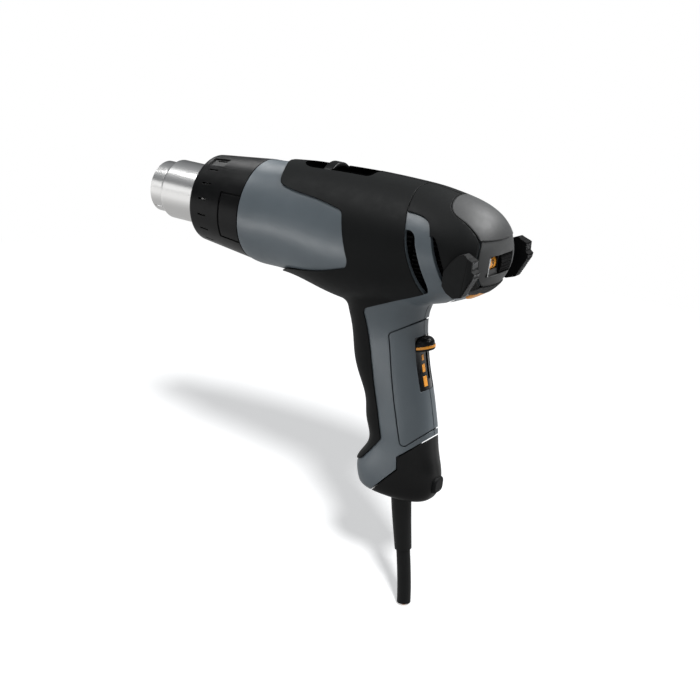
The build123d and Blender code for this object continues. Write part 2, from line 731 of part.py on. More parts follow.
STRIPE_START = 1.0
STRIPE_END = 2.6
STRIPE_DEPTH = 0.7
with BuildPart() as stripe_ring:
    with BuildSketch(switch_plane(STRIPE_START, KNOB_CENTRE)):
        Circle(KNOB_RADIUS + 0.3)
        Circle(KNOB_RADIUS - STRIPE_DEPTH, mode=Mode.SUBTRACT)
    extrude(amount=STRIPE_END - STRIPE_START)
    add(handle_form(-KNOB_LIFT - 0.15, 0), mode=Mode.SUBTRACT)
save(stripe_ring.part, "slider_stripe")

with BuildPart() as stripe_groove:
    with BuildSketch(switch_plane(STRIPE_START - CLEAR, KNOB_CENTRE)):
        Circle(KNOB_RADIUS + 2)
        Circle(KNOB_RADIUS - STRIPE_DEPTH - CLEAR, mode=Mode.SUBTRACT)
    extrude(amount=STRIPE_END - STRIPE_START + 2 * CLEAR)

with BuildPart() as switch_slider:
    add(knob_form.part)
    add(stripe_groove.part, mode=Mode.SUBTRACT)
    add(switch_box(-1.5, 1.5, PIN_END, 2, 2.8, PIN_Y))
save(switch_slider.part, "switch_slider")

with BuildPart() as switch_block:
    add(switch_box(-5, 28, -20, -8.3, 15))
    add(switch_box(-2.5, SWITCH_TRAVEL + 2.5, -12, 0, 3.8, PIN_Y), mode=Mode.SUBTRACT)
    add(handle_form(TRACK_SINK + TRACK_THICKNESS + 0.3, 0), mode=Mode.INTERSECT)
save(switch_block.part, "switch_block")

# ---------------------------------------------------------------- handle base and heel
HEEL_START = 224.6
HEEL_Z = -147.2
HEEL_WIDTH = 12.0
HEEL_HEIGHT = 10.4
HEEL_CORNER = 3.6
HEEL_DEPTH = 6.4
with BuildPart() as heel_bumper:
    with BuildSketch(Plane((HEEL_START, 0, HEEL_Z), x_dir=(0, 1, 0), z_dir=(1, 0, 0))):
        RectangleRounded(HEEL_WIDTH, HEEL_HEIGHT, HEEL_CORNER)
    extrude(amount=HEEL_DEPTH)
    fillet(heel_bumper.faces().sort_by(Axis.X)[-1].edges(), 1.6)
save(heel_bumper.part, "heel_bumper")

with BuildPart() as heel_pocket:
    with BuildSketch(Plane((HEEL_START - CLEAR, 0, HEEL_Z), x_dir=(0, 1, 0), z_dir=(1, 0, 0))):
        RectangleRounded(HEEL_WIDTH + 2 * CLEAR, HEEL_HEIGHT + 2 * CLEAR, HEEL_CORNER)
    extrude(amount=14)

CABLE_RADIUS = 4.5
BOOT_TOP_RADIUS = 6.6
cable_top = Vector(204.6, 0, -157)
cable_axis = Vector(0.19, 0, -0.982)
with BuildPart() as boot_hole:
    with BuildSketch(Plane(cable_top - cable_axis * 6, z_dir=cable_axis)):
        Circle(BOOT_TOP_RADIUS + 0.3)
    extrude(amount=20)

with BuildPart() as handle_base:
    add(hard_outer)
    add(hard_inner, mode=Mode.SUBTRACT)
    add(base_region, mode=Mode.INTERSECT)
    add(heel_pocket.part, mode=Mode.SUBTRACT)
    add(boot_hole.part, mode=Mode.SUBTRACT)
save(handle_base.part, "handle_base")

# ---------------------------------------------------------------- cable and strain relief
with BuildLine() as cable_line:
    Spline(
        (200.6, 0, -126),
        (202.6, 0, -142),
        (205.0, 0, -160),
        (208.6, 0, -182),
        (212.2, 0, -202),
        (215.0, 0, -219),
        (216.8, 0, -235),
    )
cable_path = cable_line.edges()[0]

with BuildPart() as power_cable:
    with BuildSketch(Plane(cable_path @ 0, z_dir=cable_path % 0)):
        Circle(CABLE_RADIUS)
    sweep(path=cable_path)
save(power_cable.part, "power_cable")

with BuildPart() as boot_bore:
    with BuildSketch(Plane(cable_path @ 0, z_dir=cable_path % 0)):
        Circle(CABLE_RADIUS + CLEAR)
    sweep(path=cable_path)

BOOT_SECTIONS = ((0.285, BOOT_TOP_RADIUS), (0.40, 6.4), (0.52, 6.0), (0.66, 5.5))
with BuildPart() as strain_relief:
    for place, radius in BOOT_SECTIONS:
        with BuildSketch(Plane(cable_path @ place, z_dir=cable_path % place)):
            Circle(radius)
    loft()
    add(boot_bore.part, mode=Mode.SUBTRACT)
save(strain_relief.part, "strain_relief")

with BuildPart() as cable_clamp:
    with Locations((202.2, 0, -138)):
        Box(15, 20, 6)
    add(boot_bore.part, mode=Mode.SUBTRACT)
save(cable_clamp.part, "cable_clamp")

CORE_RADIUS = 1.25
with BuildPart() as cable_cores:
    with Locations(Plane(cable_path @ 1, z_dir=cable_path % 1).offset(0.02)):
        with PolarLocations(2.2, 3):
            Cylinder(CORE_RADIUS, 0.8, align=(Align.CENTER, Align.CENTER, Align.MIN))
    with Locations((200.6, 0, -125.3)):
        with PolarLocations(2.2, 3):
            Cylinder(CORE_RADIUS, 8.1, align=(Align.CENTER, Align.CENTER, Align.MIN))
save(cable_cores.part, "cable_cores")

with BuildPart() as terminal_block:
    with Locations((202, 0, -112)):
        Box(13, 15, 10)
        with Locations((0, 0, 5)):
            with GridLocations(0, 4.8, 1, 3):
                Hole(1.5, 5)
save(terminal_block.part, "terminal_block")

# ---------------------------------------------------------------- outlet nozzle
BAND_SLOT_ANGLE = 48.0
with BuildPart() as outlet_nozzle:
    with BuildSketch(Plane.XZ):
        with BuildLine():
            Polyline(
                (0.0, NOZZLE_RADIUS - TUBE_WALL),
                (0.0, NOZZLE_RADIUS - 0.3),
                (0.3, NOZZLE_RADIUS),
                (NOZZLE_BAND - 0.4, NOZZLE_RADIUS),
                (NOZZLE_BAND, NOZZLE_RADIUS - 0.5),
                (NOZZLE_BAND + 0.8, NOZZLE_RADIUS - 0.5),
            )
            Spline(
                (NOZZLE_BAND + 0.8, NOZZLE_RADIUS - 0.5),
                (NOZZLE_BAND + 1.3, TUBE_RADIUS - 1.2),
                (NOZZLE_BAND + 3.0, TUBE_RADIUS),
                tangents=((1, 1), (1, 0)),
            )
            Polyline(
                (NOZZLE_BAND + 3.0, TUBE_RADIUS),
                (TUBE_END - 0.8, TUBE_RADIUS),
                (TUBE_END - 0.8, TUBE_RADIUS + 4.5),
                (TUBE_END, TUBE_RADIUS + 4.5),
                (TUBE_END, TUBE_RADIUS - TUBE_WALL),
                (NOZZLE_BAND + 3.2, TUBE_RADIUS - TUBE_WALL),
                (NOZZLE_BAND + 1.2, NOZZLE_RADIUS - TUBE_WALL - 0.6),
                (NOZZLE_BAND - 0.4, NOZZLE_RADIUS - TUBE_WALL - 0.6),
                (NOZZLE_BAND - 0.8, NOZZLE_RADIUS - TUBE_WALL),
                (0.0, NOZZLE_RADIUS - TUBE_WALL),
            )
        make_face()
    revolve(axis=Axis.X)
    for turn in range(4):
        angle = radians(BAND_SLOT_ANGLE + 90 * turn)
        spot = (4.6, -NOZZLE_RADIUS * cos(angle), NOZZLE_RADIUS * sin(angle))
        with Locations(Plane(spot, x_dir=(1, 0, 0), z_dir=(0, -cos(angle), sin(angle)))):
            Box(5.6, 1.3, 4, mode=Mode.SUBTRACT)
save(outlet_nozzle.part, "outlet_nozzle")

# ---------------------------------------------------------------- protective sleeve
SLEEVE_LIP_RADIUS = 21.0
SLOT_X = 53.2
SLOT_LENGTH = 7.0
SLOT_WIDTH = 1.1
LATCH_GROOVE_X = 67.5
LATCH_GROOVE_TOP = 22.0
LATCH_GROOVE_BOTTOM = -33.0
GROOVE_WIDTH = 1.5
GROOVE_DEPTH = 1.0


def sleeve_radius(x):
    share = (x - SLEEVE_FRONT) / (SLEEVE_REAR - SLEEVE_FRONT)
    return SLEEVE_FRONT_RADIUS + share * (SLEEVE_REAR_RADIUS - SLEEVE_FRONT_RADIUS)


def on_sleeve(x, angle):
    """Plane lying on the sleeve: angle 0 faces left, 90 faces up."""
    turn = radians(angle)
    radius = sleeve_radius(x)
    spot = (x, -radius * cos(turn), radius * sin(turn))
    return Plane(spot, x_dir=(1, 0, 0), z_dir=(0, -cos(turn), sin(turn)))


with BuildPart() as protective_sleeve:
    with BuildSketch(Plane.XZ):
        with BuildLine():
            Polyline(
                (SLEEVE_FRONT, SLEEVE_LIP_RADIUS),
                (SLEEVE_FRONT, sleeve_radius(SLEEVE_FRONT) - 2.2),
            )
            ThreePointArc(
                (SLEEVE_FRONT, sleeve_radius(SLEEVE_FRONT) - 2.2),
                (SLEEVE_FRONT + 0.6, sleeve_radius(SLEEVE_FRONT) - 0.6),
                (SLEEVE_FRONT + 2.2, sleeve_radius(SLEEVE_FRONT + 2.2)),
            )
            Polyline(
                (SLEEVE_FRONT + 2.2, sleeve_radius(SLEEVE_FRONT + 2.2)),
                (SLEEVE_REAR, SLEEVE_REAR_RADIUS),
                (SLEEVE_REAR, SLEEVE_REAR_RADIUS - SLEEVE_WALL),
                (SLEEVE_FRONT + 2.4, SLEEVE_FRONT_RADIUS - SLEEVE_WALL),
                (SLEEVE_FRONT + 2.0, SLEEVE_LIP_RADIUS),
                (SLEEVE_FRONT, SLEEVE_LIP_RADIUS),
            )
        make_face()
    revolve(axis=Axis.X)
    for step in range(SLEEVE_SLOTS):
        with Locations(on_sleeve(SLOT_X, 9 + step * 360 / SLEEVE_SLOTS)):
            Box(SLOT_LENGTH, SLOT_WIDTH, 3 * SLEEVE_WALL, mode=Mode.SUBTRACT)
    for step in range(12):
        turn = radians(30 * step)
        with Locations(Plane((SLEEVE_FRONT + 1, -23.4 * cos(turn), 23.4 * sin(turn)),
                             x_dir=(1, 0, 0), z_dir=(0, -cos(turn), sin(turn)))):
            Box(6, 7.0, 3.2, mode=Mode.SUBTRACT)
    for side in (1, -1):
        for angle in (LATCH_GROOVE_TOP, LATCH_GROOVE_BOTTOM):
            place = on_sleeve((LATCH_GROOVE_X + SLEEVE_REAR) / 2, 90 - side * (90 - angle))
            with Locations(place):
                Box(
                    SLEEVE_REAR - LATCH_GROOVE_X + GROOVE_WIDTH,
                    GROOVE_WIDTH,
                    2 * GROOVE_DEPTH,
                    rotation=(0, -6, 0),
                    mode=Mode.SUBTRACT,
                )
        with Locations(on_sleeve(52.5, 90 - side * 25)):
            Box(13, 8.2, 2.2, rotation=(0, -6, 0), mode=Mode.SUBTRACT)
    groove_radius = sleeve_radius(LATCH_GROOVE_X)
    groove_span = LATCH_GROOVE_TOP - LATCH_GROOVE_BOTTOM
    for start in (LATCH_GROOVE_TOP, 180 - LATCH_GROOVE_BOTTOM):
        turn = radians(start)
        groove_plane = Plane(
            (LATCH_GROOVE_X, 0, 0), x_dir=(0, -cos(turn), sin(turn)),
            z_dir=(0, sin(turn), cos(turn)),
        )
        with BuildSketch(groove_plane):
            with Locations((groove_radius, 0)):
                Rectangle(2 * GROOVE_DEPTH, GROOVE_WIDTH)
        revolve(axis=Axis.X, revolution_arc=groove_span, mode=Mode.SUBTRACT)
save(protective_sleeve.part, "protective_sleeve")

# ---------------------------------------------------------------- heater
HEATER_FRONT = 20.0
HEATER_REAR = 80.0
HEATER_RADIUS = 17.3
COIL_RADIUS = 2.2
HEATER_RINGS = ((12.6, 12), (6.6, 6))
with BuildPart() as nozzle_support_ring:
    with BuildSketch(Plane.YZ.offset(88)):
        Circle(30.3)
        Circle(TUBE_RADIUS + CLEAR, mode=Mode.SUBTRACT)
        with PolarLocations(25.2, 8):
            Circle(2.6, mode=Mode.SUBTRACT)
    extrude(amount=2)
save(nozzle_support_ring.part, "nozzle_support_ring")

with BuildPart() as mica_tube:
    with BuildSketch(Plane.YZ.offset(14)):
        Circle(18.6)
        Circle(18.0, mode=Mode.SUBTRACT)
    extrude(amount=78)
save(mica_tube.part, "mica_tube")

with BuildPart() as heater_core:
    with BuildSketch(Plane.YZ.offset(HEATER_FRONT)):
        Circle(HEATER_RADIUS)
        for ring_radius, count in HEATER_RINGS:
            with PolarLocations(ring_radius, count):
                Circle(COIL_RADIUS + 0.3, mode=Mode.SUBTRACT)
        Circle(1.8, mode=Mode.SUBTRACT)
    extrude(amount=HEATER_REAR - HEATER_FRONT)
save(heater_core.part, "heater_core")

with BuildPart() as heater_coils:
    with BuildSketch(Plane.YZ.offset(HEATER_FRONT + 1)):
        for ring_radius, count in HEATER_RINGS:
            with PolarLocations(ring_radius, count):
                Circle(COIL_RADIUS)
                Circle(COIL_RADIUS - 0.5, mode=Mode.SUBTRACT)
    extrude(amount=HEATER_REAR - HEATER_FRONT - 2)
save(heater_coils.part, "heater_coils")

with BuildPart() as temperature_probe:
    with BuildSketch(Plane.YZ.offset(15)):
        Circle(1.2)
    extrude(amount=73)
save(temperature_probe.part, "temperature_probe")

with BuildPart() as thermal_cutout:
    with Locations((86, 0, 10)):
        Box(7, 9, 4)
save(thermal_cutout.part, "thermal_cutout")

# ---------------------------------------------------------------- fan
with BuildPart() as fan_housing:
    with BuildSketch(Plane.XZ):
        with BuildLine():
            Polyline(
                (95.2, 18.9),
                (95.2, 22.5),
                (98, 22.5),
                (106, 27.3),
                (149, 27.3),
                (149, 15),
                (147.4, 15),
                (147.4, 25.8),
                (106.6, 25.8),
                (98.6, 21),
                (98.6, 18.9),
                (95.2, 18.9),
            )
        make_face()
    revolve(axis=Axis.X)
save(fan_housing.part, "fan_housing")

with BuildPart() as fan_impeller:
    with BuildSketch(Plane.YZ.offset(127)):
        Circle(24.4)
        Circle(2.03, mode=Mode.SUBTRACT)
    extrude(amount=1.6)
    with BuildSketch(Plane.YZ.offset(128.6)):
        Circle(5)
        Circle(2.03, mode=Mode.SUBTRACT)
    extrude(amount=12)
    for blade in range(11):
        turn = 2 * pi / 11 * blade
        blade_plane = Plane((128.6, 0, 0), x_dir=(0, cos(turn), sin(turn)), z_dir=(1, 0, 0))
        with BuildSketch(blade_plane):
            with Locations((17.6, 0)):
                Rectangle(12.6, 1.2, rotation=28)
        extrude(amount=14)
save(fan_impeller.part, "fan_impeller")

# ---------------------------------------------------------------- motor
MOTOR_RADIUS = 18.0
with BuildPart() as motor_shaft:
    with BuildSketch(Plane.YZ.offset(122)):
        Circle(1.98)
    extrude(amount=93)
save(motor_shaft.part, "motor_shaft")

with BuildPart() as motor_armature:
    with BuildSketch(Plane.YZ.offset(172)):
        Circle(11.5)
        with PolarLocations(11.5, 12):
            Rectangle(5, 1.6, mode=Mode.SUBTRACT)
        Circle(2.0, mode=Mode.SUBTRACT)
    extrude(amount=24)
save(motor_armature.part, "motor_armature")

with BuildPart() as motor_commutator:
    with BuildSketch(Plane.YZ.offset(197.5)):
        Circle(5.4)
        Circle(2.0, mode=Mode.SUBTRACT)
    extrude(amount=8)
save(motor_commutator.part, "motor_commutator")

with BuildPart() as motor_can:
    with BuildSketch(Plane.YZ.offset(160)):
        Circle(MOTOR_RADIUS)
    extrude(amount=49)
    with BuildSketch(Plane.YZ.offset(161.5)):
        Circle(MOTOR_RADIUS - 1.5)
    extrude(amount=48, mode=Mode.SUBTRACT)
    with BuildSketch(Plane.YZ.offset(159)):
        Circle(2.4)
        with PolarLocations(10.5, 6):
            Circle(2.6)
    extrude(amount=4, mode=Mode.SUBTRACT)
save(motor_can.part, "motor_can")

with BuildPart() as motor_end_bell:
    with BuildSketch(Plane.YZ.offset(209.1)):
        Circle(MOTOR_RADIUS)
        Circle(4.25, mode=Mode.SUBTRACT)
        with PolarLocations(11, 4):
            Circle(3, mode=Mode.SUBTRACT)
    extrude(amount=4)
save(motor_end_bell.part, "motor_end_bell")

with BuildPart() as motor_bearings:
    for start in (161.6, 209.1):
        with BuildSketch(Plane.YZ.offset(start)):
            Circle(4.2)
            Circle(2.03, mode=Mode.SUBTRACT)
        extrude(amount=4)
save(motor_bearings.part, "motor_bearings")

with BuildPart() as motor_magnets:
    with BuildSketch(Plane.YZ.offset(168)):
        Circle(MOTOR_RADIUS - 1.6)
        Circle(12.2, mode=Mode.SUBTRACT)
        Rectangle(9, 60, mode=Mode.SUBTRACT)
    extrude(amount=30)
save(motor_magnets.part, "motor_magnets")

with BuildPart() as motor_brushes:
    with Locations((201.5, 9.6, 0), (201.5, -9.6, 0)):
        Box(4, 8, 3)
save(motor_brushes.part, "motor_brushes")

with BuildPart() as motor_cradle:
    add(barrel_form(WALL + CLEAR, 0))
    with Locations((186, 0, 0)):
        Box(4, 90, 90, mode=Mode.INTERSECT)
    with BuildSketch(Plane.YZ.offset(180)):
        Circle(MOTOR_RADIUS + CLEAR)
        with PolarLocations(26.5, 10):
            Circle(5)
    extrude(amount=10, mode=Mode.SUBTRACT)
save(motor_cradle.part, "motor_cradle")

# ---------------------------------------------------------------- screws
with BuildPart() as housing_screws:
    for (x, z), head_y in zip(SCREW_POINTS, SCREW_HEAD_Y):
        base = Plane((x, SCREW_END_Y, z), z_dir=(0, 1, 0))
        with Locations(base):
            Cylinder(SCREW_RADIUS, head_y - SCREW_END_Y + 1,
                     align=(Align.CENTER, Align.CENTER, Align.MIN))
        with BuildSketch(base.offset(head_y - SCREW_END_Y)):
            Circle(SCREW_HEAD_RADIUS)
        extrude(amount=2.4)
        with BuildSketch(base.offset(head_y - SCREW_END_Y + 1)):
            RegularPolygon(1.7, 6)
        extrude(amount=4, mode=Mode.SUBTRACT)
save(housing_screws.part, "housing_screws")
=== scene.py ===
import json
import math
import random

import bmesh
import bpy
from mathutils import Matrix, Vector


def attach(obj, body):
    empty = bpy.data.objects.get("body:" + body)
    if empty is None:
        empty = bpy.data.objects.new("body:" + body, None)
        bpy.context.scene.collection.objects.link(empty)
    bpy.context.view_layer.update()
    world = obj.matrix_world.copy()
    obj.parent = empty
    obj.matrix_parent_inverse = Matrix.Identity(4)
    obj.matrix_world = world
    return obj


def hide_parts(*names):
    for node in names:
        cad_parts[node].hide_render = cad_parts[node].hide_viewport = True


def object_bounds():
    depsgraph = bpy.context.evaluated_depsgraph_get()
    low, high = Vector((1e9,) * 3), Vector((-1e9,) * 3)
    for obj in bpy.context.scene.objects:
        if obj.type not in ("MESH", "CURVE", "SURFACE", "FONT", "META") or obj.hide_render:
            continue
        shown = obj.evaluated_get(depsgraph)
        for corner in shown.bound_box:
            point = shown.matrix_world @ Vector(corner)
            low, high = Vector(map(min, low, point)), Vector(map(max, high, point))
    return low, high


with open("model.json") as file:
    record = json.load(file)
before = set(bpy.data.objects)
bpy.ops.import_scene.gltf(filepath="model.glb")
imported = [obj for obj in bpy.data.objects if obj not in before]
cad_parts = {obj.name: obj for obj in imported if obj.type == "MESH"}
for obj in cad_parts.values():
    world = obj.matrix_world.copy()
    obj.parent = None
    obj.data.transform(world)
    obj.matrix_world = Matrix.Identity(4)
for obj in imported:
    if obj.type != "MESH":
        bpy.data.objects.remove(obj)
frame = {"nodes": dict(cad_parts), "record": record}
nodes = frame["nodes"]
cad_low, cad_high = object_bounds()
random.seed(7)
MM = 0.001

# ---------------------------------------------------------------- material building blocks
# Noise scales are in cycles per metre.
FLOW_SCALE = 38             # broad mottling left by the flow of the plastic
GRAIN_SCALE = 2600          # spark-eroded grain of the mould
DUST_SCALE = 160            # patches of wear and dust
CLOUD_SCALE = 55            # broad tone changes in metal
FLOW_DEPTH = 0.12 * MM
FLOW_STRENGTH = 0.35
# The crevice constants control painted shade: the colour is darkened where ambient occlusion finds a
# seam or gap.
CREVICE_REACH = 1.2 * MM
CREVICE_SHADE = 0.15        # share of the colour left deep in a seam
CREVICE_DEEP = 0.25         # openness at which a seam is fully dark
CREVICE_OPEN = 0.6
EDGE_SHARP = 0.78           # agreement of flat and rounded normals on a sharp edge
EDGE_FLAT = 0.99
PROBE_SAMPLES = 4
METAL_EDGE_GLINT = 1.25
METAL_EDGE_RADIUS = 0.25 * MM
CERAMIC_EDGE_RADIUS = 0.3 * MM
SPECK_SCALE = 900
CERAMIC_CLOUD_SCALE = 70
PIT_DEPTH = 0.05 * MM
PORE_SCALE = 900
PORE_DEPTH = 0.35 * MM


class Shader:
    """A thin wrapper that adds and links the nodes of one material."""

    def __init__(self, name):
        self.material = bpy.data.materials.new(name)
        self.material.use_nodes = True
        self.tree = self.material.node_tree
        self.tree.nodes.clear()
        self.output = self.add("ShaderNodeOutputMaterial")
        self.surface = self.add("ShaderNodeBsdfPrincipled")
        self.link(self.surface, "BSDF", self.output, "Surface")
        self.place = self.add("ShaderNodeTexCoord")

    def add(self, kind):
        return self.tree.nodes.new(kind)

    def link(self, source, output, target, name):
        self.tree.links.new(source.outputs[output], target.inputs[name])

    def noise(self, scale, detail=4.0, stretch=(1, 1, 1), roughness=0.5):
        """Noise in object space; the scale is in cycles per metre."""
        mapping = self.add("ShaderNodeMapping")
        mapping.inputs["Scale"].default_value = stretch
        self.link(self.place, "Object", mapping, "Vector")
        noise = self.add("ShaderNodeTexNoise")
        noise.inputs["Scale"].default_value = scale
        noise.inputs["Detail"].default_value = detail
        noise.inputs["Roughness"].default_value = roughness
        self.link(mapping, "Vector", noise, "Vector")
        return noise

    def spread(self, source, output, low, high, start=0.3, end=0.7):
        """Maps a value from start to end onto low to high, clamped."""
        spread = self.add("ShaderNodeMapRange")
        spread.inputs["From Min"].default_value = start
        spread.inputs["From Max"].default_value = end
        spread.inputs["To Min"].default_value = low
        spread.inputs["To Max"].default_value = high
        self.link(source, output, spread, "Value")
        return spread

    def blend(self, factor, output, first, second):
        """Mix of two colours; either may be a node's colour output."""
        mix = self.add("ShaderNodeMix")
        mix.data_type = "RGBA"
        self.link(factor, output, mix, "Factor")
        for socket, colour in ((mix.inputs[6], first), (mix.inputs[7], second)):
            if isinstance(colour, tuple):
                socket.default_value = (*colour, 1)
            else:
                self.tree.links.new(colour.outputs[2], socket)
        return mix

    def edges(self, radius):
        """Rounded normal, and a mask that is 1 on sharp edges."""
        bevel = self.add("ShaderNodeBevel")
        bevel.samples = PROBE_SAMPLES
        bevel.inputs["Radius"].default_value = radius
        geometry = self.add("ShaderNodeNewGeometry")
        dot = self.add("ShaderNodeVectorMath")
        dot.operation = "DOT_PRODUCT"
        self.link(bevel, "Normal", dot, "Vector")
        self.tree.links.new(geometry.outputs["Normal"], dot.inputs[1])
        mask = self.spread(dot, "Value", 1.0, 0.0, EDGE_SHARP, EDGE_FLAT)
        return bevel, mask

    def bump(self, source, output, distance, previous=None, strength=1.0):
        bump = self.add("ShaderNodeBump")
        bump.inputs["Strength"].default_value = strength
        bump.inputs["Distance"].default_value = distance
        self.link(source, output, bump, "Height")
        if previous is not None:
            self.link(previous, "Normal", bump, "Normal")
        return bump


def shade(colour, factor):
    return tuple(min(1.0, channel * factor) for channel in colour)


def moulded(name, colour, roughness=0.42, grain=0.02, radius=0.5, edge=1.5, sheen=0.0,
            specular=0.5, mottle=0.08):
    """Moulded plastic or rubber: mould grain, flow mottling, painted shade in seams and toned edges.

    Edges take the colour times edge: above 1 they look lighter, partly wear and partly painted
    highlight; below 1 they take painted shade and sink into the seam.
    """
    s = Shader(name)
    broad = s.noise(FLOW_SCALE, 3)
    fine = s.noise(GRAIN_SCALE, 2)
    dust = s.noise(DUST_SCALE, 5, roughness=0.65)
    bevel, edge_mask = s.edges(radius * MM)
    mottling = s.spread(broad, "Fac", 0, 1)
    body = s.blend(mottling, "Result", shade(colour, 1 - mottle), shade(colour, 1 + mottle))
    # Ambient occlusion darkens the colour in seams and gaps: painted shade.
    crevice = s.add("ShaderNodeAmbientOcclusion")
    crevice.samples = PROBE_SAMPLES
    crevice.inputs["Distance"].default_value = CREVICE_REACH
    openness = s.spread(crevice, "AO", 0, 1, CREVICE_DEEP, CREVICE_OPEN)
    body = s.blend(openness, "Result", shade(colour, CREVICE_SHADE), body)
    # Edges move towards colour times edge in patches: lighter edges are wear with a painted highlight,
    # darker edges are painted shade along the seams.
    edge_wear_and_painted_light = s.add("ShaderNodeMath")
    edge_wear_and_painted_light.operation = "MULTIPLY"
    s.link(edge_mask, "Result", edge_wear_and_painted_light, 0)
    s.link(s.spread(dust, "Fac", 0.25, 0.95, 0.35, 0.65), "Result", edge_wear_and_painted_light, 1)
    worn_and_painted_edges = s.blend(edge_wear_and_painted_light, "Value", body, shade(colour, edge))
    s.tree.links.new(worn_and_painted_edges.outputs[2], s.surface.inputs["Base Color"])
    s.link(s.spread(dust, "Fac", roughness - 0.05, roughness + 0.06), "Result", s.surface, "Roughness")
    skin = s.bump(fine, "Fac", grain * MM, bevel)
    flow = s.bump(broad, "Fac", FLOW_DEPTH, skin, FLOW_STRENGTH)
    s.link(flow, "Normal", s.surface, "Normal")
    s.surface.inputs["Specular IOR Level"].default_value = specular
    s.surface.inputs["Sheen Weight"].default_value = sheen
    s.surface.inputs["Sheen Roughness"].default_value = 0.5
    return s.material


def metal(name, colour, roughness=0.3, stretch=(1, 1, 1), depth=0.006, variation=0.12,
          streaks=0.06, brush_scale=420):
    """Metal with brushing or drawing lines along the low direction of the stretch."""
    s = Shader(name)
    lines = s.noise(brush_scale, 6, stretch, 0.7)
    cloud = s.noise(CLOUD_SCALE, 4)
    bevel, edge_mask = s.edges(METAL_EDGE_RADIUS)
    clouding = s.spread(cloud, "Fac", 0, 1)
    body = s.blend(clouding, "Result", shade(colour, 1 - variation), shade(colour, 1 + variation / 2))
    bright = s.blend(edge_mask, "Result", body, shade(colour, METAL_EDGE_GLINT))
    s.tree.links.new(bright.outputs[2], s.surface.inputs["Base Color"])
    brushing = s.spread(lines, "Fac", roughness - streaks, roughness + streaks)
    s.link(brushing, "Result", s.surface, "Roughness")
    brushed = s.bump(lines, "Fac", depth * MM, bevel)
    s.link(brushed, "Normal", s.surface, "Normal")
    s.surface.inputs["Metallic"].default_value = 1.0
    return s.material


def ceramic(name, colour, roughness=0.7):
    """Fired ceramic: chalky, speckled and slightly pitted."""
    s = Shader(name)
    speck = s.noise(SPECK_SCALE, 4, roughness=0.7)
    cloud = s.noise(CERAMIC_CLOUD_SCALE, 3)
    bevel, _ = s.edges(CERAMIC_EDGE_RADIUS)
    body = s.blend(s.spread(cloud, "Fac", 0, 1), "Result", shade(colour, 0.88), shade(colour, 1.05))
    spotted = s.blend(s.spread(speck, "Fac", 0, 0.6, 0.6, 0.72), "Result", body, shade(colour, 0.55))
    s.tree.links.new(spotted.outputs[2], s.surface.inputs["Base Color"])
    s.surface.inputs["Roughness"].default_value = roughness
    pits = s.bump(speck, "Fac", PIT_DEPTH, bevel)
    s.link(pits, "Normal", s.surface, "Normal")
    return s.material


def foam(name, colour):
    """Open-cell foam: round pores darkened into dots of painted shade, and a deep bump."""
    s = Shader(name)
    cells = s.add("ShaderNodeTexVoronoi")
    cells.inputs["Scale"].default_value = PORE_SCALE
    s.link(s.place, "Object", cells, "Vector")
    walls = s.spread(cells, "Distance", 0, 1, 0.15, 0.6)
    body = s.blend(walls, "Result", shade(colour, 0.35), shade(colour, 1.6))
    s.tree.links.new(body.outputs[2], s.surface.inputs["Base Color"])
    s.surface.inputs["Roughness"].default_value = 0.95
    pores = s.bump(cells, "Distance", PORE_DEPTH)
    s.link(pores, "Normal", s.surface, "Normal")
    return s.material


# ---------------------------------------------------------------- materials by slot
SOFT_BLACK = (0.0065, 0.0071, 0.0072)
HARD_BLACK = (0.0035, 0.0037, 0.0039)
SLATE = (0.080, 0.096, 0.108)
AROUND_TUBE = (50, 0.25, 0.25)      # noise stretch that leaves turning lines round the X axis
ALONG_X = (1, 12, 12)
ALONG_X_AND_Y = (1, 1, 12)
NO_STRETCH = (1, 1, 1)
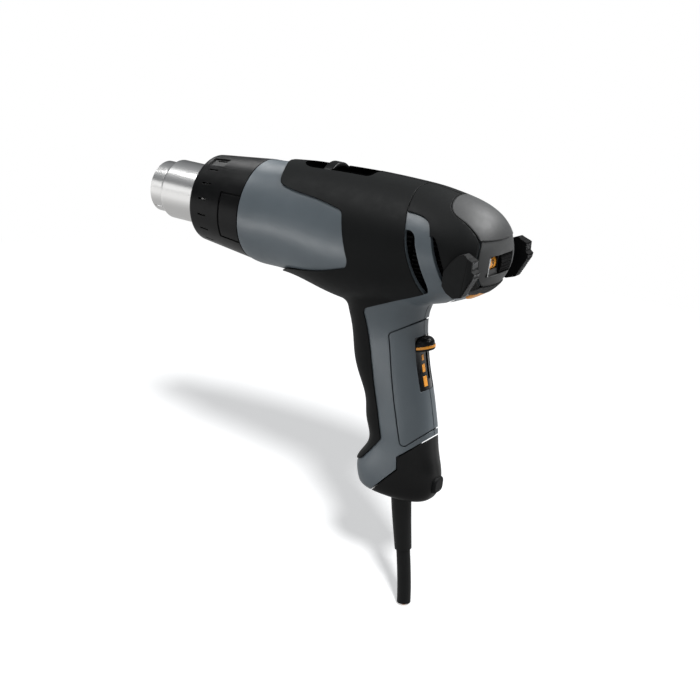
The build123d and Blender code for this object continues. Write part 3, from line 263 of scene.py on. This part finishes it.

# Edge factors below 1 (black_soft, cap_grey) put painted shade along edges so seams read dark; factors
# above 1 give lighter edges of wear and painted highlight.
MATERIALS = {
    "nozzle_steel": metal(
        "nozzle_steel", (0.80, 0.795, 0.785), 0.26, AROUND_TUBE, 0.0006,
        variation=0.015, streaks=0.012, brush_scale=60,
    ),
    "black_hard": moulded("black_hard", HARD_BLACK, 0.34, 0.012, 0.5, 1.2, specular=0.20),
    "black_soft": moulded("black_soft", SOFT_BLACK, 0.52, 0.016, 0.6, 0.2, sheen=0.02, specular=0.10),
    "void_black": moulded("void_black", (0.002, 0.002, 0.0022), 0.7, 0.02, 0.2, 1.5, specular=0.08),
    "gloss_black": moulded("gloss_black", (0.005, 0.005, 0.0055), 0.2, 0.004, 0.4, 1.8),
    "grey_shell": moulded("grey_shell", SLATE, 0.36, 0.014, 0.7, 1.25, specular=0.35),
    "cap_grey": moulded("cap_grey", (0.038, 0.0395, 0.0400), 0.54, 0.008, 0.9, 0.12, specular=0.5),
    "belly_grey": moulded("belly_grey", (0.20, 0.22, 0.245), 0.38, 0.012, 0.6, 1.2),
    "pad_rubber": moulded("pad_rubber", (0.0025, 0.0026, 0.0028), 0.62, 0.03, 0.25, 1.9, specular=0.08),
    "orange_plastic": moulded("orange_plastic", (0.86, 0.34, 0.03), 0.32, 0.006, 0.3, 1.1, mottle=0.04),
    "cable_rubber": moulded(
        "cable_rubber", (0.0055, 0.006, 0.0062), 0.48, 0.02, 0.4, 1.8, sheen=0.02, specular=0.25,
    ),
    "copper": metal("copper", (0.80, 0.42, 0.24), 0.3, ALONG_X),
    "zinc_steel": metal("zinc_steel", (0.56, 0.57, 0.56), 0.36, NO_STRETCH, 0.01, variation=0.2),
    "dark_steel": metal("dark_steel", (0.13, 0.13, 0.135), 0.42, NO_STRETCH, 0.01, variation=0.25),
    "ceramic_white": ceramic("ceramic_white", (0.74, 0.69, 0.60)),
    "heating_wire": metal("heating_wire", (0.30, 0.26, 0.23), 0.5, NO_STRETCH, 0.01, variation=0.3),
    "mica": ceramic("mica", (0.48, 0.41, 0.29), 0.45),
    "fan_plastic": moulded("fan_plastic", (0.035, 0.035, 0.036), 0.45, 0.02, 0.3, 1.7),
    "board_green": moulded("board_green", (0.02, 0.13, 0.05), 0.3, 0.01, 0.2, 1.4),
    "aluminium_raw": metal("aluminium_raw", (0.78, 0.78, 0.79), 0.34, ALONG_X_AND_Y, 0.008),
    "filter_foam": foam("filter_foam", (0.004, 0.004, 0.0042)),
    "magnet_grey": moulded("magnet_grey", (0.07, 0.07, 0.075), 0.6, 0.04, 0.2, 1.3),
}
slot_of = {row["node"]: row["material_slot"] for row in frame["record"]["subparts"]}
for name, node in nodes.items():
    node.data.materials.clear()
    node.data.materials.append(MATERIALS[slot_of[name]])

# The air inlets and the floor of the top recess get a near-black colour with no gloss: painted shade
# that stands for their deep shadow.
painted_shade_black = moulded("painted_shade_black", (0.0008, 0.0008, 0.0009), 0.9, 0.02, 0.2, 1.0, specular=0.0)
for name in ("left_inlet_grille", "right_inlet_grille", "eye_tray"):
    nodes[name].data.materials[0] = painted_shade_black

# The left foot has the same soft skin as the rear panel beside it.
for name in ("left_stand_foot", "left_foot_pad"):
    nodes[name].data.materials[0] = MATERIALS["black_soft"]


# ---------------------------------------------------------------- piece helpers
def piece(name, mesh, body, slot_name, material=None):
    """Turns a mesh into a piece that rides on a body."""
    item = bpy.data.objects.new(name, mesh)
    bpy.context.scene.collection.objects.link(item)
    item.data.materials.clear()
    item.data.materials.append(material or MATERIALS[slot_name])
    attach(item, body)
    return item


def tube_along(points, radius, sides):
    """Closed wire of some flat sides along a list of points, as one bmesh."""
    wire = bmesh.new()
    rings = []
    across = None
    for index, point in enumerate(points):
        ahead = points[min(index + 1, len(points) - 1)]
        behind = points[max(index - 1, 0)]
        along = (ahead - behind).normalized()
        if across is None:
            across = along.orthogonal().normalized()
        else:
            across = (across - along * across.dot(along)).normalized()
        up = along.cross(across)
        ring = []
        for side in range(sides):
            turn = 2 * math.pi * side / sides
            ring.append(wire.verts.new(point + radius * (across * math.cos(turn) + up * math.sin(turn))))
        rings.append(ring)
    for first, second in zip(rings, rings[1:]):
        for side in range(sides):
            following = (side + 1) % sides
            wire.faces.new((first[side], first[following], second[following], second[side]))
    wire.faces.new(list(reversed(rings[0])))
    wire.faces.new(rings[-1])
    for face in wire.faces:
        face.smooth = len(face.verts) == 4
    return wire


# ---------------------------------------------------------------- heater windings
HEATER_START = 0.0212
HEATER_END = 0.0788
COIL_RADIUS = 1.75 * MM
WIRE_RADIUS = 0.28 * MM
WIRE_SIDES = 6
COIL_TURNS = 20
STEPS_PER_TURN = 10
HEATER_RINGS = ((12.6 * MM, 12), (6.6 * MM, 6))     # radius and number of holes

windings = bmesh.new()
for ring_radius, count in HEATER_RINGS:
    for hole in range(count):
        turn = 2 * math.pi * hole / count
        centre_y = ring_radius * math.cos(turn)
        centre_z = ring_radius * math.sin(turn)
        phase = random.uniform(0, 2 * math.pi)
        path = []
        steps = COIL_TURNS * STEPS_PER_TURN
        for step in range(steps + 1):
            share = step / steps
            angle = phase + 2 * math.pi * COIL_TURNS * share
            path.append(Vector((
                HEATER_START + (HEATER_END - HEATER_START) * share,
                centre_y + COIL_RADIUS * math.cos(angle),
                centre_z + COIL_RADIUS * math.sin(angle),
            )))
        coil = tube_along(path, WIRE_RADIUS, WIRE_SIDES)
        coil_mesh = bpy.data.meshes.new("coil")
        coil.to_mesh(coil_mesh)
        coil.free()
        windings.from_mesh(coil_mesh)
        bpy.data.meshes.remove(coil_mesh)
windings_mesh = bpy.data.meshes.new("heater_windings")
windings.to_mesh(windings_mesh)
windings.free()
heater_windings = piece("heater_windings", windings_mesh, "housing", "heating_wire")
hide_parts("heater_coils")

# ---------------------------------------------------------------- dial numbers
DIAL_X = 0.2412
DIAL_Z = 0.0016
SCALE_RADIUS = 8.2 * MM
NUMERAL_Y = -8.0 * MM
NUMERAL_SIZE = 6.0 * MM
NUMERAL_DEPTH = 0.12 * MM
DIAL_STEP = 36.0
SHOWN_NUMERAL = 9
LAST_NUMERAL = 9
NUMERAL_TILT = math.radians(4)
NUMERAL_SMOOTHNESS = 3

numeral_ink = moulded("numeral_ink", (0.012, 0.012, 0.013), 0.4, 0.005, 0.05, 1.2)
for value in range(1, LAST_NUMERAL + 1):
    text = bpy.data.curves.new(f"numeral_text_{value}", "FONT")
    text.body = str(value)
    text.size = NUMERAL_SIZE
    text.align_x = "CENTER"
    text.align_y = "CENTER"
    text.extrude = NUMERAL_DEPTH
    text.resolution_u = NUMERAL_SMOOTHNESS
    flat = bpy.data.objects.new(f"numeral_flat_{value}", text)
    bpy.context.scene.collection.objects.link(flat)
    bpy.context.view_layer.update()
    mesh = bpy.data.meshes.new_from_object(flat)
    bpy.data.objects.remove(flat)
    angle = math.radians((SHOWN_NUMERAL - value) * DIAL_STEP)
    for vertex in mesh.vertices:
        across, up, out = vertex.co
        lift = SCALE_RADIUS + out + 0.5 * NUMERAL_DEPTH
        turn = angle + up / SCALE_RADIUS + NUMERAL_TILT
        vertex.co = Vector((
            DIAL_X + lift * math.cos(turn),
            NUMERAL_Y + across,
            DIAL_Z + lift * math.sin(turn),
        ))
    piece(f"dial_numeral_{value}", mesh, "dial", "black_hard", numeral_ink)

# ---------------------------------------------------------------- light grey strip at the edge of the dial window: painted highlight on its chamfer
GLINT_STRIP_BACK = 250.25 * MM
GLINT_STRIP_FRONT = 250.6 * MM
GLINT_STRIP_OUTLINE = ((-16.0, 6.4), (-13.9, 6.4), (-13.9, 4.6), (-15.5, -4.4), (-16.1, -4.4))
GLINT_STRIP_EDGE = 0.12 * MM

glint_strip_form = bmesh.new()
rear_ring = [glint_strip_form.verts.new((GLINT_STRIP_BACK, y * MM, z * MM)) for y, z in GLINT_STRIP_OUTLINE]
front_ring = [glint_strip_form.verts.new((GLINT_STRIP_FRONT, y * MM, z * MM)) for y, z in GLINT_STRIP_OUTLINE]
glint_strip_form.faces.new(front_ring)
glint_strip_form.faces.new(list(reversed(rear_ring)))
for first in range(len(GLINT_STRIP_OUTLINE)):
    second = (first + 1) % len(GLINT_STRIP_OUTLINE)
    glint_strip_form.faces.new((rear_ring[first], rear_ring[second], front_ring[second], front_ring[first]))
bmesh.ops.recalc_face_normals(glint_strip_form, faces=glint_strip_form.faces)
front_edges = [
    edge for edge in glint_strip_form.edges if all(vertex in front_ring for vertex in edge.verts)
]
bmesh.ops.bevel(glint_strip_form, geom=front_edges, offset=GLINT_STRIP_EDGE, segments=2, affect="EDGES")
glint_strip_mesh = bpy.data.meshes.new("dial_window_glint")
glint_strip_form.to_mesh(glint_strip_mesh)
glint_strip_form.free()
# Light grey in place of the light caught by the chamfer: painted highlight.
glint_strip_grey = moulded("glint_strip_grey", (0.36, 0.37, 0.37), 0.4, 0.004, 0.1, 1.1)
piece("dial_window_glint", glint_strip_mesh, "housing", "belly_grey", glint_strip_grey)

# ---------------------------------------------------------------- diagonal ribs on the stand pads
# The top and bottom of each rear facet, as X and Z in millimetres.
PAD_FACETS = (
    ((251.2, 8.6), (251.4, 3.4)),
    ((253.3, 2.0), (252.9, -0.6)),
    ((252.9, -0.6), (246.7, -13.4)),
)
RIB_INNER = 33.3
RIB_OUTER = 39.8
RIB_PITCH = 1.3
RIB_WIDTH = 0.5
RIB_HEIGHT = 0.35
RIB_SINK = 0.1
RIB_SLANT = 0.9
RIB_STEPS = 8


def pad_ribs(side):
    """Slanting ribs on each rear facet of one pad; side is -1 for the left and 1 for the right."""
    form = bmesh.new()
    for (top_x, top_z), (end_x, end_z) in PAD_FACETS:
        top = Vector((top_x, 0, top_z))
        length = math.hypot(end_x - top_x, end_z - top_z)
        down = Vector((end_x - top_x, 0, end_z - top_z)) / length
        out = Vector((-down.z, 0, down.x))
        width = RIB_OUTER - RIB_INNER
        start = -RIB_SLANT * width
        while start < length:
            ring_rows = []
            for step in range(RIB_STEPS + 1):
                share = step / RIB_STEPS
                along = start + RIB_SLANT * width * share
                if not RIB_WIDTH < along < length - RIB_WIDTH:
                    continue
                middle = top + down * along + Vector((0, side * (RIB_INNER + width * share), 0))
                half = 0.5 * RIB_WIDTH
                corners = (
                    middle - down * half - out * RIB_SINK,
                    middle - down * half * 0.5 + out * RIB_HEIGHT,
                    middle + down * half * 0.5 + out * RIB_HEIGHT,
                    middle + down * half - out * RIB_SINK,
                )
                ring_rows.append([form.verts.new(corner * MM) for corner in corners])
            for first, second in zip(ring_rows, ring_rows[1:]):
                for corner in range(4):
                    following = (corner + 1) % 4
                    form.faces.new((first[corner], first[following], second[following], second[corner]))
            if len(ring_rows) > 1:
                form.faces.new(list(reversed(ring_rows[0])))
                form.faces.new(ring_rows[-1])
            start += RIB_PITCH
    for vertex in [vertex for vertex in form.verts if not vertex.link_faces]:
        form.verts.remove(vertex)
    bmesh.ops.recalc_face_normals(form, faces=form.faces)
    mesh = bpy.data.meshes.new("pad_ribs")
    form.to_mesh(mesh)
    form.free()
    return mesh


rib_rubber = moulded("rib_rubber", (0.11, 0.112, 0.114), 0.6, 0.01, 0.1, 1.5, specular=0.3)
piece("left_pad_ribs", pad_ribs(-1), "housing", "pad_rubber", rib_rubber)
piece("right_pad_ribs", pad_ribs(1), "housing", "pad_rubber", rib_rubber)

# ---------------------------------------------------------------- floor, light and camera
FLOOR_Z = cad_low.z - 0.001
FLOOR_CENTRE = (0.1, 0.1, FLOOR_Z)
FLOOR_HALF_WIDTH = 12
FLOOR_PLAIN_FROM = 0.35
FLOOR_PLAIN_TO = 0.8
FLOOR_COLOUR = (0.74, 0.745, 0.75)
FLOOR_BLACK = (0.0, 0.0, 0.0)
FLOOR_GLOW_SEEN = 0.46
FLOOR_GLOW_UNSEEN = 0.5


def floor_material():
    """Pale floor that runs out into an even white backdrop."""
    s = Shader("pale_floor")
    ray = s.add("ShaderNodeLightPath")
    tone = s.blend(ray, "Is Camera Ray", FLOOR_BLACK, FLOOR_COLOUR)
    s.tree.links.new(tone.outputs[2], s.surface.inputs["Base Color"])
    s.surface.inputs["Roughness"].default_value = 0.95
    s.surface.inputs["Specular IOR Level"].default_value = 0.0
    s.surface.inputs["Emission Color"].default_value = (1, 1, 1, 1)
    own = s.spread(ray, "Is Camera Ray", FLOOR_GLOW_UNSEEN, FLOOR_GLOW_SEEN, 0, 1)
    s.link(own, "Result", s.surface, "Emission Strength")
    geometry = s.add("ShaderNodeNewGeometry")
    away = s.add("ShaderNodeVectorMath")
    away.operation = "DISTANCE"
    s.link(geometry, "Position", away, 0)
    away.inputs[1].default_value = FLOOR_CENTRE
    share = s.spread(away, "Value", 0, 1, FLOOR_PLAIN_FROM, FLOOR_PLAIN_TO)
    glow = s.add("ShaderNodeEmission")
    glow.inputs["Color"].default_value = (1, 1, 1, 1)
    mix = s.add("ShaderNodeMixShader")
    s.link(share, "Result", mix, "Fac")
    s.tree.links.new(s.surface.outputs["BSDF"], mix.inputs[1])
    s.tree.links.new(glow.outputs["Emission"], mix.inputs[2])
    s.tree.links.new(mix.outputs["Shader"], s.output.inputs["Surface"])
    return s.material


floor_form = bmesh.new()
bmesh.ops.create_grid(floor_form, x_segments=2, y_segments=2, size=FLOOR_HALF_WIDTH)
floor_mesh = bpy.data.meshes.new("floor")
floor_form.to_mesh(floor_mesh)
floor_form.free()
floor = bpy.data.objects.new("floor", floor_mesh)
floor.location = (0, 0, FLOOR_Z)
floor.data.materials.append(floor_material())
bpy.context.scene.collection.objects.link(floor)


def receivers(name, members, state):
    """A set of objects that a light shines on, or that it leaves out."""
    group = bpy.data.collections.new(name)
    for member in members:
        group.objects.link(member)
    for entry in group.collection_objects:
        entry.light_linking.link_state = state
    return group


def in_slots(*slots):
    return [node for name, node in nodes.items() if slot_of[name] in slots]


object_only = receivers("object_only", [floor], "EXCLUDE")
floor_only = receivers("floor_only", [floor], "INCLUDE")
slate_only = receivers("slate_only", in_slots("grey_shell", "belly_grey"), "INCLUDE")
nozzle_only = receivers("nozzle_only", in_slots("nozzle_steel"), "INCLUDE")
front_only = receivers(
    "front_only", [*in_slots("grey_shell"), nodes["protective_sleeve"]], "INCLUDE",
)


def lamp(name, kind, place, target, power, lit):
    """A light aimed at a point, which shines only on its receivers."""
    light = bpy.data.lights.new(name, kind)
    light.energy = power
    item = bpy.data.objects.new(name, light)
    item.location = place
    item.rotation_euler = (Vector(target) - Vector(place)).to_track_quat("-Z", "Y").to_euler()
    item.light_linking.receiver_collection = lit
    item.visible_camera = False
    bpy.context.scene.collection.objects.link(item)
    return light


def softbox(name, place, target, width, height, power, lit=object_only):
    light = lamp(name, "AREA", place, target, power, lit)
    light.shape = "RECTANGLE"
    light.size = width
    light.size_y = height


MIDDLE = (0.15, 0, -0.05)
NOZZLE = (0.04, 0, 0)
softbox("top_left", (-0.25, -0.45, 1.0), MIDDLE, 0.8, 0.35, 9)
softbox("top_rear", (0.60, 0.45, 0.80), MIDDLE, 0.8, 0.5, 17)
softbox("front_right", (0.85, -1.05, 0.55), MIDDLE, 0.3, 0.3, 1.1)
softbox("low_left", (-0.12, -0.45, -0.21), MIDDLE, 0.5, 0.15, 1.5, slate_only)
softbox("nozzle_band", (-0.45, -0.76, 0.16), NOZZLE, 0.8, 0.30, 0.8, nozzle_only)
softbox("front_top", (-0.40, 0.60, 0.75), NOZZLE, 0.8, 0.3, 4, front_only)
shadow_lamp = lamp("floor_shadow", "SUN", (0.16, -0.205, 0.237), (0, 0, 0), 3.4, floor_only)
shadow_lamp.angle = math.radians(9)

# The world looks white to the camera and lights the object with a soft grey sky.
SKY_LOW = (0.03, 0.032, 0.034, 1)
SKY_HIGH = (0.30, 0.31, 0.32, 1)
world = bpy.data.worlds.new("studio")
bpy.context.scene.world = world
world.use_nodes = True
tree = world.node_tree
tree.nodes.clear()
world_out = tree.nodes.new("ShaderNodeOutputWorld")
seen = tree.nodes.new("ShaderNodeBackground")
seen.inputs["Color"].default_value = (1, 1, 1, 1)
seen.inputs["Strength"].default_value = 1.0
cast = tree.nodes.new("ShaderNodeBackground")
cast.inputs["Strength"].default_value = 1.0
direction = tree.nodes.new("ShaderNodeTexCoord")
split = tree.nodes.new("ShaderNodeSeparateXYZ")
ramp = tree.nodes.new("ShaderNodeValToRGB")
tree.links.new(direction.outputs["Generated"], split.inputs["Vector"])
tree.links.new(split.outputs["Z"], ramp.inputs["Fac"])
ramp.color_ramp.elements[0].position = 0.0
ramp.color_ramp.elements[0].color = SKY_LOW
ramp.color_ramp.elements[1].position = 0.9
ramp.color_ramp.elements[1].color = SKY_HIGH
tree.links.new(ramp.outputs["Color"], cast.inputs["Color"])
rays = tree.nodes.new("ShaderNodeLightPath")
choose = tree.nodes.new("ShaderNodeMixShader")
tree.links.new(rays.outputs["Is Camera Ray"], choose.inputs["Fac"])
tree.links.new(cast.outputs["Background"], choose.inputs[1])
tree.links.new(seen.outputs["Background"], choose.inputs[2])
tree.links.new(choose.outputs["Shader"], world_out.inputs["Surface"])
bpy.context.scene.view_settings.view_transform = "Standard"

# Camera: 30 degrees round from the left side, 18 degrees up, rolled 6 degrees.
AZIMUTH = math.radians(29.916)
ELEVATION = math.radians(18.205)
ROLL = math.radians(6.157)
CAMERA_PLACE = (0.53470, -0.65775, 0.17261)
CAMERA_LENS = 64.43
SENSOR_WIDTH = 36
back = Vector((
    math.sin(AZIMUTH) * math.cos(ELEVATION),
    -math.cos(AZIMUTH) * math.cos(ELEVATION),
    math.sin(ELEVATION),
))
right = Vector((math.cos(AZIMUTH), math.sin(AZIMUTH), 0))
up = back.cross(right)
rolled_right = right * math.cos(ROLL) + up * math.sin(ROLL)
rolled_up = up * math.cos(ROLL) - right * math.sin(ROLL)
lens = bpy.data.cameras.new("photo_camera")
lens.lens = CAMERA_LENS
lens.sensor_width = SENSOR_WIDTH
camera = bpy.data.objects.new("photo_camera", lens)
camera.matrix_world = Matrix((
    (rolled_right.x, rolled_up.x, back.x, CAMERA_PLACE[0]),
    (rolled_right.y, rolled_up.y, back.y, CAMERA_PLACE[1]),
    (rolled_right.z, rolled_up.z, back.z, CAMERA_PLACE[2]),
    (0, 0, 0, 1),
))
bpy.context.scene.collection.objects.link(camera)
bpy.context.scene.camera = camera
